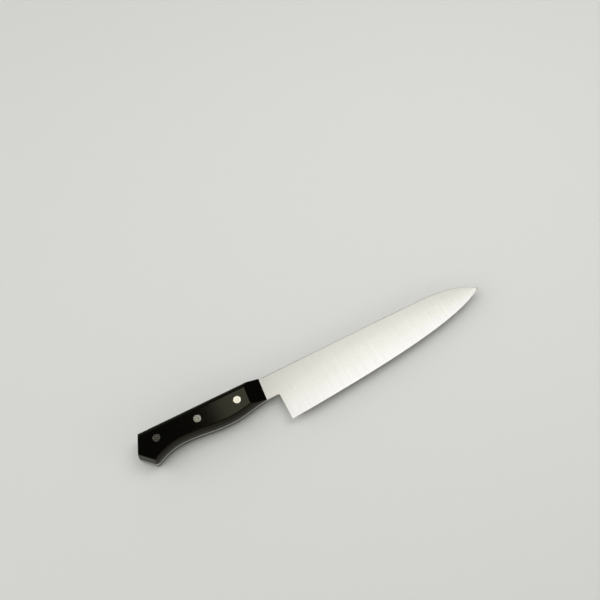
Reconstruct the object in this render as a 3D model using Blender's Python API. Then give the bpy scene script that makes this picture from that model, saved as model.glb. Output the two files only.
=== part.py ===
"""Gyuto kitchen knife: a steel blade with a full tang, two handle scales and three rivets.

The shapes are worked out in the heel frame. X runs from the heel towards the tip, Y from the
cutting edge towards the spine, and Z across the blade from its middle plane, with the right
side of the knife up. An empty carries the knife so that it lies on its left scale, and the
point of that scale's flat face between the front and middle rivets is the world origin.
"""

import math

import bmesh
import bpy
import numpy as np
from mathutils import Vector
from mathutils.geometry import interpolate_bezier

MM = 0.001

# Blade, seen from its side
BLADE_LENGTH = 210 * MM  # heel to tip
HEEL_HEIGHT = 45.6 * MM  # cutting edge to spine at the heel
SPINE_RISE = 1.2 * MM  # climb of the spine from the heel to where it turns down
SPINE_TURN = 55 * MM  # length over which the spine comes down to the tip
TIP_DROP = 13.6 * MM  # highest point of the spine to the tip
TIP_BLUNT = 0.3 * MM  # height of the tip itself
EDGE_HEEL_ANGLE = math.radians(3.4)  # climb of the edge at the heel
EDGE_TIP_ANGLE = math.radians(31)  # climb of the edge at the tip
SPINE_TIP_ANGLE = math.radians(32)  # fall of the spine at the tip
CHOIL_RADIUS = 1.5 * MM  # inside corner between the heel and the neck

# Blade, across its thickness
STOCK_THICKNESS = 2.0 * MM
TAPER_LENGTH = 110 * MM  # length before the tip over which the spine gets thinner
TIP_THICKNESS = 0.8 * MM
EDGE_THICKNESS = 0.3 * MM  # across the blade where the sharpened bevel starts
EDGE_LAND = 0.06 * MM  # across the cutting edge itself
BEVEL_HEIGHT = 0.9 * MM  # height of the sharpened bevel
GRIND_RUN = 45 * MM  # length over which the grind climbs from the neck to its full height
SPINE_FLAT = 10 * MM  # height left at full thickness under the spine

# Handle, seen from its side
HANDLE_LENGTH = 128.5 * MM  # heel to the end of the butt
NECK_HEIGHT = 20.4 * MM
NECK_RUN = 6 * MM  # straight underside of the neck behind the heel
BULGE_DEPTH = 25.4 * MM  # spine to underside at the palm swell
WAIST_DEPTH = 22.1 * MM  # spine to underside at the little finger
WAIST_SETBACK = 38.5 * MM  # butt to the waist
BUTT_HEIGHT = 18.4 * MM
BUTT_LEAN = math.radians(21)
FACET_HEIGHT = 10.8 * MM  # height of the slanting flat below the butt
FACET_ANGLE = math.radians(45)
POMMEL_RADIUS = 4 * MM

# Handle, across its thickness
SCALE_THICKNESS = 8.45 * MM
GLUE_LINE = 0.05 * MM  # epoxy between the tang and a scale
BELLY_ROUND = 3.6 * MM  # how far the rounded underside reaches up a scale's face
FACET_ROUND = 2.5 * MM  # the same from where the slanting flat begins
ROUND_RUNOUT = 9 * MM  # length over which it narrows from one to the other
SPINE_ROUND = 3.4 * MM  # how far the rounded top edge reaches down a scale's face
SPINE_ROUND_DEPTH = 2.8 * MM  # and how far it reaches into the thickness
FRONT_SETBACK = 11 * MM  # heel to the front of a scale, at the tang
FRONT_EDGE = 1.0 * MM  # thickness left at the front of a scale
RAMP_LENGTH = 15.5 * MM  # sloping front of a scale
RAMP_SKEW = math.radians(5.5)  # turn of the ramp, seen from the side

# Rivets: a tubular half with a head, and a pin with a head that fills it
PIN_DIAMETER = 3.3 * MM
TUBE_WALL = 0.75 * MM
HEAD_SHOULDER = 0.75 * MM  # step between the tube and the head
HEAD_DEPTH = 2.6 * MM
RIVET_SINK = 0.03 * MM  # head below the scale's face
RIVET_PLAY = 0.05 * MM  # gap around every rivet surface
FRONT_RIVET_MARGIN = 9.1 * MM  # top of the ramp to the front rivet
BUTT_RIVET_MARGIN = 19.5 * MM  # end of the butt to the butt rivet
FRONT_RIVET_DROP = 11.7 * MM  # spine to the front rivet
BUTT_RIVET_DROP = 10.9 * MM  # spine to the butt rivet

# How finely curves are divided
BLADE_STEPS = 44
BELLY_STEPS = 12
ARC_STEPS = 5
ROUND_STEPS = 8
TURNED_STEPS = 48
CURVE_SAMPLES = 400

# Margin that a cut or a cutter runs past the solid
OVERSHOOT = 4 * MM
WELD = 0.0001 * MM

TANG_FACE = STOCK_THICKNESS / 2
SCALE_INNER = TANG_FACE + GLUE_LINE
SCALE_OUTER = SCALE_INNER + SCALE_THICKNESS
UNDERSIDE_OF_NECK = HEEL_HEIGHT - NECK_HEIGHT
BUTT_END = Vector((-HANDLE_LENGTH, HEEL_HEIGHT - BUTT_HEIGHT, 0))

PIN_RADIUS = PIN_DIAMETER / 2
BORE_RADIUS = PIN_RADIUS + RIVET_PLAY
TUBE_RADIUS = BORE_RADIUS + TUBE_WALL
HEAD_RADIUS = TUBE_RADIUS + HEAD_SHOULDER
HEAD_TOP = SCALE_OUTER - RIVET_SINK
HEAD_SEAT = HEAD_TOP - HEAD_DEPTH


def clear_scene():
    for obj in list(bpy.data.objects):
        bpy.data.objects.remove(obj, do_unlink=True)


def ease(share):
    """0 to 1 with level ends."""
    share = np.clip(share, 0, 1)
    return share * share * (3 - 2 * share)


def curve_between(start, start_reach, end, end_reach, steps):
    """Points of one curve from start to end. Each reach is how far that end runs straight."""
    start, end = Vector(start), Vector(end)
    return interpolate_bezier(start, start + Vector(start_reach), end - Vector(end_reach), end, steps)


def heights_at(points, stations):
    """The curve's height at each station along X."""
    points = sorted((point.x, point.y) for point in points)
    return np.interp(stations, *np.transpose(points))


# Outlines of the blade


def edge_heights(stations):
    """Cutting edge: nearly straight for a third of its length, then climbing to the tip."""
    top = HEEL_HEIGHT + SPINE_RISE - TIP_DROP - TIP_BLUNT / 2
    heel_reach = 0.6 * BLADE_LENGTH
    tip_reach = 0.12 * BLADE_LENGTH
    points = curve_between(
        (0, 0),
        (heel_reach, heel_reach * math.tan(EDGE_HEEL_ANGLE)),
        (BLADE_LENGTH, top),
        (tip_reach, tip_reach * math.tan(EDGE_TIP_ANGLE)),
        CURVE_SAMPLES,
    )
    return heights_at(points, stations)


def spine_heights(stations):
    """Spine: a straight line from the butt, a slight climb along the blade, then a turn down."""
    turn = BLADE_LENGTH - SPINE_TURN
    crest = HEEL_HEIGHT + SPINE_RISE
    tip_reach = 0.1 * SPINE_TURN
    turn_reach = 0.7 * SPINE_TURN
    points = [Vector((-HANDLE_LENGTH - 3 * OVERSHOOT, HEEL_HEIGHT)), Vector((0, HEEL_HEIGHT))]
    points += curve_between(
        (turn, crest),
        (turn_reach, 0),
        (BLADE_LENGTH, crest - TIP_DROP + TIP_BLUNT / 2),
        (tip_reach, -tip_reach * math.tan(SPINE_TIP_ANGLE)),
        CURVE_SAMPLES,
    )
    return heights_at(points, stations)


def grind_heights(stations):
    """Top of the ground face: it starts in the choil and climbs to under the spine."""
    edge, spine = edge_heights(stations), spine_heights(stations)
    choil = UNDERSIDE_OF_NECK - CHOIL_RADIUS
    full = HEEL_HEIGHT - SPINE_FLAT
    start_share, full_share = choil / HEEL_HEIGHT, full / HEEL_HEIGHT
    share = start_share + (full_share - start_share) * ease(stations / GRIND_RUN)
    return edge + share * (spine - edge)


# Outline of the handle


def underside_points():
    """Underside of the handle, from the choil back past the butt, as the tang and scales share it."""
    neck = (-NECK_RUN, UNDERSIDE_OF_NECK)
    waist = (-HANDLE_LENGTH + WAIST_SETBACK, HEEL_HEIGHT - WAIST_DEPTH)
    bulge = ((neck[0] + waist[0]) / 2, HEEL_HEIGHT - BULGE_DEPTH)
    corner_x = BUTT_END.x + FACET_HEIGHT / math.tan(FACET_ANGLE)
    pommel_x = corner_x + POMMEL_RADIUS * math.tan(FACET_ANGLE / 2)
    pommel = (pommel_x, BUTT_END.y - FACET_HEIGHT)
    swell_reach = 0.42 * (neck[0] - bulge[0])
    hook = pommel[0] - waist[0]

    points = [Vector((x, y)) for x, y in choil_arc()]
    points += curve_between(neck, (-swell_reach, 0), bulge, (-swell_reach, 0), BELLY_STEPS)
    points += curve_between(bulge, (-swell_reach, 0), waist, (-swell_reach, 0), BELLY_STEPS)[1:]
    points += curve_between(waist, (0.54 * hook, 0), pommel, (0.08 * hook, 0), BELLY_STEPS)[1:]
    points += pommel_arc(Vector(pommel))
    return points


def choil_arc():
    """Inside corner from the foot of the heel's back to the underside of the neck."""
    for step in range(ARC_STEPS + 1):
        angle = math.pi / 2 * step / ARC_STEPS
        across = CHOIL_RADIUS * (1 - math.cos(angle))
        yield -across, UNDERSIDE_OF_NECK - CHOIL_RADIUS * (1 - math.sin(angle))


def pommel_arc(lowest):
    """Rounded corner under the butt, then straight on past the flat that cuts it."""
    points = []
    centre = lowest + Vector((0, POMMEL_RADIUS))
    almost_square = 0.9 * FACET_ANGLE
    for step in range(1, ARC_STEPS + 1):
        angle = almost_square * step / ARC_STEPS
        points.append(centre - POMMEL_RADIUS * Vector((math.sin(angle), math.cos(angle))))
    run = points[-1].x + HANDLE_LENGTH + 2 * OVERSHOOT
    points.append(points[-1] + Vector((-run, run * math.tan(almost_square))))
    return points


UNDERSIDE = underside_points()


def square_off_butt(bm):
    """Cuts the butt and the slanting flat under it square through everything in the mesh."""
    butt_out = Vector((-math.cos(BUTT_LEAN), math.sin(BUTT_LEAN), 0))
    facet_out = Vector((-math.sin(FACET_ANGLE), -math.cos(FACET_ANGLE), 0))
    cut_flat(bm, BUTT_END, butt_out)
    cut_flat(bm, BUTT_END, facet_out)


def cut_flat(bm, point, outward):
    """Takes away what lies outside a plane and closes the solid there."""
    geometry = bm.verts[:] + bm.edges[:] + bm.faces[:]
    cut = bmesh.ops.bisect_plane(
        bm, geom=geometry, plane_co=point, plane_no=outward, dist=WELD, clear_outer=True
    )
    rim = [item for item in cut["geom_cut"] if isinstance(item, bmesh.types.BMEdge)]
    bmesh.ops.holes_fill(bm, edges=rim)


# Making objects


def material(name, colour, metallic, roughness):
    made = bpy.data.materials.new(name)
    made.use_nodes = True
    shader = made.node_tree.nodes["Principled BSDF"]
    shader.inputs["Base Color"].default_value = (*colour, 1)
    shader.inputs["Metallic"].default_value = metallic
    shader.inputs["Roughness"].default_value = roughness
    return made


def add_object(name, bm, carrier, finish=None):
    """Closes the mesh's normals outwards and hangs it on the carrier."""
    bmesh.ops.remove_doubles(bm, verts=bm.verts, dist=WELD)
    bmesh.ops.recalc_face_normals(bm, faces=bm.faces)
    mesh = bpy.data.meshes.new(name)
    bm.to_mesh(mesh)
    bm.free()
    mesh.shade_smooth()
    mesh.set_sharp_from_angle(angle=math.radians(20))
    made = bpy.data.objects.new(name, mesh)
    bpy.context.collection.objects.link(made)
    made.parent = carrier
    if finish:
        mesh.materials.append(finish)
    return made


def drill(obj, cutter):
    cut = obj.modifiers.new("rivet holes", "BOOLEAN")
    cut.operation = "DIFFERENCE"
    cut.solver = "EXACT"
    cut.object = cutter


# Blade


def add_sheet(bm, columns):
    """Quads between neighbouring columns of points that run in step."""
    columns = [[bm.verts.new(point) for point in column] for column in columns]
    for near, far in zip(columns, columns[1:]):
        for low in range(min(len(near), len(far)) - 1):
            bm.faces.new((near[-1 - low], near[-2 - low], far[-2 - low], far[-1 - low]))


def tang_columns(side):
    """Tang and neck: underside and spine at each station, back to front."""
    for point in reversed(UNDERSIDE[1:]):
        spine = float(spine_heights(point.x))
        yield [(point.x, point.y, side * TANG_FACE), (point.x, spine, side * TANG_FACE)]


def blade_columns(side):
    """Blade: edge, top of the bevel, top of the grind and spine at each station, heel to tip."""
    share = np.linspace(0, 1, BLADE_STEPS + 1)
    stations = BLADE_LENGTH * (1 - (1 - share) ** 1.5)
    edge, grind, spine = (f(stations) for f in (edge_heights, grind_heights, spine_heights))
    bevel = edge + np.minimum(BEVEL_HEIGHT, 0.25 * (grind - edge))
    taper = ease((stations - (BLADE_LENGTH - TAPER_LENGTH)) / TAPER_LENGTH)
    face = TANG_FACE + (TIP_THICKNESS / 2 - TANG_FACE) * taper
    for x, ys, full in zip(stations, zip(edge, bevel, grind, spine), face):
        zs = (EDGE_LAND / 2, EDGE_THICKNESS / 2, full, full)
        yield [(x, y, side * z) for y, z in zip(ys, zs)]


def make_blade(carrier, cutter):
    bm = bmesh.new()
    for side in (1, -1):
        add_sheet(bm, [*tang_columns(side), *blade_columns(side)])
    rim = [edge for edge in bm.edges if edge.is_boundary]
    bmesh.ops.bridge_loops(bm, edges=rim)
    square_off_butt(bm)
    steel = material("satin_stainless_steel", (0.78, 0.78, 0.75), 1, 0.3)
    drill(add_object("blade", bm, carrier, steel), cutter)


# Scales


def scale_section(point, side):
    """Cross-section at one station: inner face, rounded underside, flat face, rounded top edge."""
    end_of_arc = UNDERSIDE[-2].x
    to_flat = float(ease((end_of_arc + ROUND_RUNOUT - point.x) / ROUND_RUNOUT))
    reach = BELLY_ROUND + (FACET_ROUND - BELLY_ROUND) * to_flat
    quarter = [math.pi / 2 * step / ROUND_STEPS for step in range(ROUND_STEPS + 1)]
    section = [
        (point.y + reach * (1 - math.cos(a)), SCALE_INNER + SCALE_THICKNESS * math.sin(a))
        for a in quarter
    ]
    section += [
        (
            HEEL_HEIGHT - SPINE_ROUND * (1 - math.sin(a)),
            SCALE_OUTER - SPINE_ROUND_DEPTH * (1 - math.cos(a)),
        )
        for a in quarter
    ]
    section.append((HEEL_HEIGHT, SCALE_INNER))
    return [Vector((point.x, y, side * z)) for y, z in section]


def loft(bm, sections):
    """Closed solid through sections that have the same number of points."""
    rings = [[bm.verts.new(point) for point in section] for section in sections]
    for near, far in zip(rings, rings[1:]):
        for i in range(len(near)):
            bm.faces.new((near[i - 1], near[i], far[i], far[i - 1]))
    bm.faces.new(rings[0])
    bm.faces.new(reversed(rings[-1]))


def shape_front(bm, side):
    """Ends a scale in a thin square edge and slopes its face down to it."""
    crest = Vector((math.sin(RAMP_SKEW), math.cos(RAMP_SKEW), 0))
    foot = Vector((-FRONT_SETBACK, HEEL_HEIGHT - NECK_HEIGHT / 2, 0))
    cut_flat(bm, foot, crest.cross(Vector((0, 0, 1))))
    lip = foot + Vector((0, 0, side * (SCALE_INNER + FRONT_EDGE)))
    down = Vector((RAMP_LENGTH, 0, -side * (SCALE_THICKNESS - FRONT_EDGE)))
    cut_flat(bm, lip, side * down.cross(crest))


def make_scale(name, side, carrier, cutter, finish):
    bm = bmesh.new()
    behind_choil = UNDERSIDE[ARC_STEPS:]
    loft(bm, [scale_section(point, side) for point in behind_choil])
    shape_front(bm, side)
    square_off_butt(bm)
    drill(add_object(name, bm, carrier, finish), cutter)


# Rivets


def rivet_places():
    front = Vector((-FRONT_SETBACK - RAMP_LENGTH - FRONT_RIVET_MARGIN, HEEL_HEIGHT - FRONT_RIVET_DROP))
    butt = Vector((-HANDLE_LENGTH + BUTT_RIVET_MARGIN, HEEL_HEIGHT - BUTT_RIVET_DROP))
    return {"front": front, "middle": (front + butt) / 2, "butt": butt}


def turn_profile(bm, profile, place, closed):
    """Turns a profile of (radius, height) points about an upright axis at the place."""
    centre = (place.x, place.y, 0)
    verts = [bm.verts.new((place.x + radius, place.y, height)) for radius, height in profile]
    ends = verts[1:] + verts[:1] if closed else verts[1:]
    edges = [bm.edges.new(pair) for pair in zip(verts, ends)]
    bmesh.ops.spin(
        bm, geom=edges, cent=centre, axis=(0, 0, 1), angle=math.tau, steps=TURNED_STEPS, use_merge=True
    )


def make_drill(carrier):
    """Cutter for the rivets' holes, counterbored at both ends, through scales and tang."""
    past = SCALE_OUTER + OVERSHOOT
    floor = HEAD_SEAT - RIVET_PLAY
    hole, counterbore = TUBE_RADIUS + RIVET_PLAY, HEAD_RADIUS + RIVET_PLAY
    profile = [(0, past), (counterbore, past), (counterbore, floor), (hole, floor)]
    profile += [(radius, -height) for radius, height in reversed(profile)]
    bm = bmesh.new()
    for place in rivet_places().values():
        turn_profile(bm, profile, place, closed=False)
    cutter = add_object("rivet_drill", bm, carrier)
    cutter.hide_render = True
    cutter.display_type = "WIRE"
    return cutter


def make_sleeve(name, place, carrier, finish):
    """Tubular half, from the right side: its head is bored through."""
    foot = -HEAD_SEAT + RIVET_PLAY
    profile = [
        (BORE_RADIUS, HEAD_TOP),
        (HEAD_RADIUS, HEAD_TOP),
        (HEAD_RADIUS, HEAD_SEAT),
        (TUBE_RADIUS, HEAD_SEAT),
        (TUBE_RADIUS, foot),
        (BORE_RADIUS, foot),
    ]
    bm = bmesh.new()
    turn_profile(bm, profile, place, closed=True)
    add_object(name, bm, carrier, finish)


def make_pin(name, place, carrier, finish):
    """Solid half, from the left side: its end shows in the middle of the sleeve's head."""
    profile = [
        (0, HEAD_TOP),
        (PIN_RADIUS, HEAD_TOP),
        (PIN_RADIUS, -HEAD_SEAT),
        (HEAD_RADIUS, -HEAD_SEAT),
        (HEAD_RADIUS, -HEAD_TOP),
        (0, -HEAD_TOP),
    ]
    bm = bmesh.new()
    turn_profile(bm, profile, place, closed=False)
    add_object(name, bm, carrier, finish)


def rest_point():
    """Where the left scale's flat face touches the world origin, between two rivets."""
    places = rivet_places()
    between = (places["front"] + places["middle"]) / 2
    return Vector((between.x, between.y, -SCALE_OUTER))


def main():
    clear_scene()
    knife = bpy.data.objects.new("knife", None)
    bpy.context.collection.objects.link(knife)
    knife.location = -rest_point()

    cutter = make_drill(knife)
    make_blade(knife, cutter)
    wood = material("black_laminated_wood", (0.006, 0.006, 0.006), 0, 0.35)
    make_scale("right_scale", 1, knife, cutter, wood)
    make_scale("left_scale", -1, knife, cutter, wood)
    rivet_steel = material("polished_stainless_steel", (0.8, 0.8, 0.77), 1, 0.25)
    for name, place in rivet_places().items():
        make_sleeve(f"{name}_rivet_sleeve", place, knife, rivet_steel)
        make_pin(f"{name}_rivet_pin", place, knife, rivet_steel)


main()
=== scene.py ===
# %% [markdown]
# This lesson finishes a gyuto, a Japanese chef's knife with a Western handle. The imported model
# gives nine plain solids: the blade with its full tang, two handle scales, and three rivets of
# two halves each. Every solid is replaced by a finer surface that is worked out with numpy in
# the same place, and gets a material that is named for what the real piece is made of.

# %% Load the frame
import math

import bmesh
import bpy
import numpy as np
from mathutils import Matrix, Vector


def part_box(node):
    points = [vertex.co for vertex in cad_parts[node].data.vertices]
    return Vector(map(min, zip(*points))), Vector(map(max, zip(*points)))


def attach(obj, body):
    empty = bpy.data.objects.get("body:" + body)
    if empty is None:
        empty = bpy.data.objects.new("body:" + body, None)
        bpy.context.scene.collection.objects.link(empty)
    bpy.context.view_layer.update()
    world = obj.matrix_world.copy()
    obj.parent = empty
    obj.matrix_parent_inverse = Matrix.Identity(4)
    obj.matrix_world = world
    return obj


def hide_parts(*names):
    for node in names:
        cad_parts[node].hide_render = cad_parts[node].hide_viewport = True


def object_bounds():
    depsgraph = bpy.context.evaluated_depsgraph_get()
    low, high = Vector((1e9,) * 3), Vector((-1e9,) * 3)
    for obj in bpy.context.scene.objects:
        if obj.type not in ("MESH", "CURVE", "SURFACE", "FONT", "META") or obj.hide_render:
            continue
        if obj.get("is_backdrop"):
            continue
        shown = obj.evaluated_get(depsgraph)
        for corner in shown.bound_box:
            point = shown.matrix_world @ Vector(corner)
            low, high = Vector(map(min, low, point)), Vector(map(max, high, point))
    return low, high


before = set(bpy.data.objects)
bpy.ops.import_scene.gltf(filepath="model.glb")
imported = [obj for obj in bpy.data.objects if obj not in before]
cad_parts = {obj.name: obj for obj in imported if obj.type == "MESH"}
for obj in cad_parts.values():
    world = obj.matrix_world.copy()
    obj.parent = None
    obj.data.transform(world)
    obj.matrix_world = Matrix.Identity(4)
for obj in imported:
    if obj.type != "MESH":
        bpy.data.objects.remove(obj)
cad_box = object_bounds()
print("nodes:", ", ".join(sorted(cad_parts)))

# %% [markdown]
# A cutler measures a knife from its heel, the corner where the edge ends above the handle. The
# shapes below are worked out in millimetres from there: X towards the tip, Y from the edge
# towards the spine, and Z across the blade from its middle plane. The heel's place comes from
# the frame, so each surface lands on the solid that it replaces.

# %% Where the heel is
MM = 0.001
BLADE_LENGTH = 210
blade_low, blade_high = (np.array(corner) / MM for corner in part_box("blade"))
HEEL = np.array([blade_high[0] - BLADE_LENGTH, blade_low[1], (blade_low[2] + blade_high[2]) / 2])


def in_frame(points):
    """Metres in the frame's own axes, from millimetres measured from the heel."""
    return (points + HEEL) * MM


def from_heel(node):
    """The middle of a node's box, in millimetres from the heel."""
    low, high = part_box(node)
    return np.array((low + high) / 2) / MM - HEEL


print("heel at", HEEL.round(2), "mm")

# %% [markdown]
# The camera stands where the photographer stood: in front of the knife, 61 degrees above the
# table and turned 28 degrees, so that the handle points at the lower left corner. Its place
# was worked out from the corners of the knife, whose real sizes are known. Pointing a camera
# is three turns: tip it up from straight down, turn it about the vertical, and roll it a touch.

# %% Camera
CAMERA_PLACE = (-0.05459, -0.25404, 0.6557)
CAMERA_TURN = math.radians(-27.736)
CAMERA_DOWN = math.radians(60.87)
CAMERA_ROLL = math.radians(-0.2)
CAMERA_LENS = 48.42
CAMERA_SENSOR = 36

camera_data = bpy.data.cameras.new("camera")
camera_data.lens = CAMERA_LENS
camera_data.sensor_width = CAMERA_SENSOR
camera = bpy.data.objects.new("camera", camera_data)
bpy.context.scene.collection.objects.link(camera)
aim = Matrix.Rotation(CAMERA_TURN, 4, "Z") @ Matrix.Rotation(math.pi / 2 - CAMERA_DOWN, 4, "X")
camera.matrix_world = Matrix.Translation(CAMERA_PLACE) @ aim @ Matrix.Rotation(CAMERA_ROLL, 4, "Z")
bpy.context.scene.camera = camera
print("camera", round(camera.location.length, 3), "m from the origin")

# %% [markdown]
# Colours are written as the sRGB hex values that a colour picker shows, and Cycles works in
# linear light, so one function turns the first into the second. Another adds any shader node,
# with its settings and its links, and a third starts an empty material.

# %% Colour and node helpers


def linear(hex_colour):
    """Linear red, green, blue and alpha from an sRGB value such as D8D8D2."""
    channels = np.array([int(hex_colour[i : i + 2], 16) for i in (0, 2, 4)]) / 255
    bent = np.where(channels <= 0.04045, channels / 12.92, ((channels + 0.055) / 1.055) ** 2.4)
    return (*bent.tolist(), 1.0)


def add_node(tree, kind, sockets=None, stops=(), **settings):
    """A node with its settings. A socket takes a value or a link, and a node links its first output.

    A colour ramp also takes its two stops: place and colour, in order.
    """
    node = tree.nodes.new("ShaderNode" + kind)
    for name, value in settings.items():
        setattr(node, name, value)
    for name, value in (sockets or {}).items():
        if isinstance(value, bpy.types.Node):
            value = value.outputs[0]
        if isinstance(value, bpy.types.NodeSocket):
            tree.links.new(value, node.inputs[name])
        else:
            node.inputs[name].default_value = value
    for number, (position, colour) in enumerate(stops):
        node.color_ramp.elements[number].position = position
        node.color_ramp.elements[number].color = colour
    return node


def new_material(name):
    """An empty material, and its node tree."""
    material = bpy.data.materials.new(name)
    material.use_nodes = True
    material.node_tree.nodes.clear()
    return material, material.node_tree


print("hex 808080 is", round(linear("808080")[0], 3), "in linear light")

# %% [markdown]
# The set is a product photographer's table: a pale floor, a pale surround and soft lamps. The
# floor is matt paint, which keeps the knife's shadow. Far off it fades into the surround's own
# tone, so that no hard horizon shows. Only the camera and reflections see that fade, and to all
# other light the floor is the same paint everywhere.

# %% Floor
FLOOR_SIZE = 60.0
FLOOR_DROP = 0.0001
FLOOR_COLOUR = "E4E4E1"
FADE_FROM = 0.4
FADE_TO = 2.0
SURROUND_LOW = "E4E4E1"

floor_mesh = bpy.data.meshes.new("floor")
reach = FLOOR_SIZE / 2
corners = [(x * reach, y * reach, -FLOOR_DROP) for x, y in ((-1, -1), (1, -1), (1, 1), (-1, 1))]
floor_mesh.from_pydata(corners, [], [(0, 1, 2, 3)])
floor = bpy.data.objects.new("floor", floor_mesh)
bpy.context.scene.collection.objects.link(floor)
floor_paint, tree = new_material("matt_pale_floor")
paint = add_node(tree, "BsdfDiffuse", {"Color": linear(FLOOR_COLOUR)})
haze = add_node(tree, "Emission", {"Color": linear(SURROUND_LOW), "Strength": 1.0})
place = add_node(tree, "TexCoord").outputs["Object"]
far = add_node(tree, "VectorMath", {0: place}, operation="LENGTH").outputs["Value"]
fade = add_node(
    tree,
    "MapRange",
    {"Value": far, "From Min": FADE_FROM, "From Max": FADE_TO},
    interpolation_type="SMOOTHSTEP",
)
ray = add_node(tree, "LightPath").outputs
bounced = add_node(
    tree, "Math", {0: ray["Is Glossy Ray"], 1: ray["Is Transmission Ray"]}, operation="MAXIMUM"
)
seen = add_node(tree, "Math", {0: ray["Is Camera Ray"], 1: bounced}, operation="MAXIMUM")
hazy = add_node(tree, "Math", {0: fade, 1: seen}, operation="MULTIPLY")
shader = add_node(tree, "MixShader", {0: hazy, 1: paint, 2: haze})
add_node(tree, "OutputMaterial", {"Surface": shader})
floor_mesh.materials.append(floor_paint)
floor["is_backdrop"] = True
print("floor", FLOOR_SIZE, "m wide, fading from", FADE_FROM, "m on")

# %% [markdown]
# The surround closes the view at the sides, and it is what polished faces mirror. It is pale at
# the horizon and darkens upwards. Height here is the sine of the elevation, which is the Z of a
# direction of length 1. A photographer's black flag is a soft dark patch in it at the right. The
# handle's slanting front mirrors that flag into this camera, so the front stays black.

# %% Surround
SURROUND_HIGH = "3A3A39"
SURROUND_RISE = (0.2, 0.85)
FLAG_TOWARDS = (0.824, 0.431, 0.368)
FLAG_EDGE = (0.82, 0.97)
FLAG_FOOT = (0.2, 0.33)

surround = bpy.data.worlds.new("studio_surround")
surround.use_nodes = True
tree = surround.node_tree
tree.nodes.clear()
direction = add_node(tree, "TexCoord").outputs["Generated"]
upward = add_node(tree, "SeparateXYZ", {"Vector": direction}).outputs["Z"]
climb = add_node(
    tree, "MapRange", {"Value": upward, "From Min": SURROUND_RISE[0], "From Max": SURROUND_RISE[1]}
)
towards_flag = add_node(
    tree, "VectorMath", {0: direction, 1: FLAG_TOWARDS}, operation="DOT_PRODUCT"
).outputs["Value"]
flag = add_node(
    tree,
    "MapRange",
    {"Value": towards_flag, "From Min": FLAG_EDGE[0], "From Max": FLAG_EDGE[1]},
    interpolation_type="SMOOTHSTEP",
)
above = add_node(
    tree, "MapRange", {"Value": upward, "From Min": FLAG_FOOT[0], "From Max": FLAG_FOOT[1]}
)
flagged = add_node(tree, "Math", {0: flag, 1: above}, operation="MULTIPLY")
darker = add_node(tree, "Math", {0: climb, 1: flagged}, operation="MAXIMUM")
shades = [(0, linear(SURROUND_LOW)), (1, linear(SURROUND_HIGH))]
tone = add_node(tree, "ValToRGB", {"Fac": darker}, stops=shades)
light = add_node(tree, "Background", {"Color": tone, "Strength": 1.0})
add_node(tree, "OutputWorld", {"Surface": light})
bpy.context.scene.world = surround
print("surround from", SURROUND_LOW, "at the horizon to", SURROUND_HIGH, "overhead")

# %% [markdown]
# Satin steel has hardly a colour of its own, it shows what it mirrors, so where the lamps stand
# matters more than how strong they are. The wide lamp overhead is the one that the blade's face
# and the front of the handle mirror into this camera. The middle of the handle mirrors the
# lamp's edge, which is why the scale's sheen dies away towards the butt. A larger lamp at the
# left lights the floor, and two small cards near the table give the pommel its highlights. The
# Standard view transform shows the light as it is, without a film's curve.

# %% Lamps


def soft_lamp(name, place, size, radiance, target=(0, 0, 0)):
    """A flat panel that faces its target. Radiance 1 is as bright as a lit white wall."""
    lamp = bpy.data.lights.new(name, "AREA")
    lamp.shape = "RECTANGLE"
    lamp.size, lamp.size_y = size
    lamp.energy = radiance * math.pi * size[0] * size[1]
    panel = bpy.data.objects.new(name, lamp)
    bpy.context.scene.collection.objects.link(panel)
    away = Vector(place) - Vector(target)
    facing = away.to_track_quat("Z", "Y").to_matrix().to_4x4()
    panel.matrix_world = Matrix.Translation(place) @ facing
    panel.visible_camera = False


soft_lamp(
    "overhead_softbox",
    place=(0.5025, 0.13, 0.90),
    size=(0.855, 0.66),
    radiance=2.0,
    target=(0.5025, 0.13, 0),
)
soft_lamp("left_softbox", place=(-1.55, 0.50, 1.45), size=(3.00, 2.50), radiance=1.6)
soft_lamp("left_card", place=(-1.30, -0.75, 0.42), size=(0.70, 0.40), radiance=1.0)
soft_lamp("right_card", place=(1.00, -1.00, 0.46), size=(0.70, 0.50), radiance=1.2)
bpy.context.scene.view_settings.view_transform = "Standard"

# %% [markdown]
# A surface here is a grid of points, an array of rows by columns. Its fourth number is one
# value of the surface's own, such as how far a point lies above the cutting edge, which a
# material can read. A piece is a list of such sheets whose borders meet. They go into one mesh,
# the doubled border points are merged, and then the normals are turned outwards, which works
# only on a closed skin. So a gap would show up here first, and the function counts open edges.

# %% Sheets to meshes
WELD = 0.000001
CREASE_ANGLE = math.radians(28)


def cell_quads(rows, columns, kept=None):
    """Corner numbers of each cell of a grid, row by row, without the cells that aren't kept."""
    number = np.arange(rows * columns).reshape(rows, columns)
    quads = np.stack([number[:-1, :-1], number[:-1, 1:], number[1:, 1:], number[1:, :-1]], -1)
    return quads.reshape(-1, 4) if kept is None else quads[kept]


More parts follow.
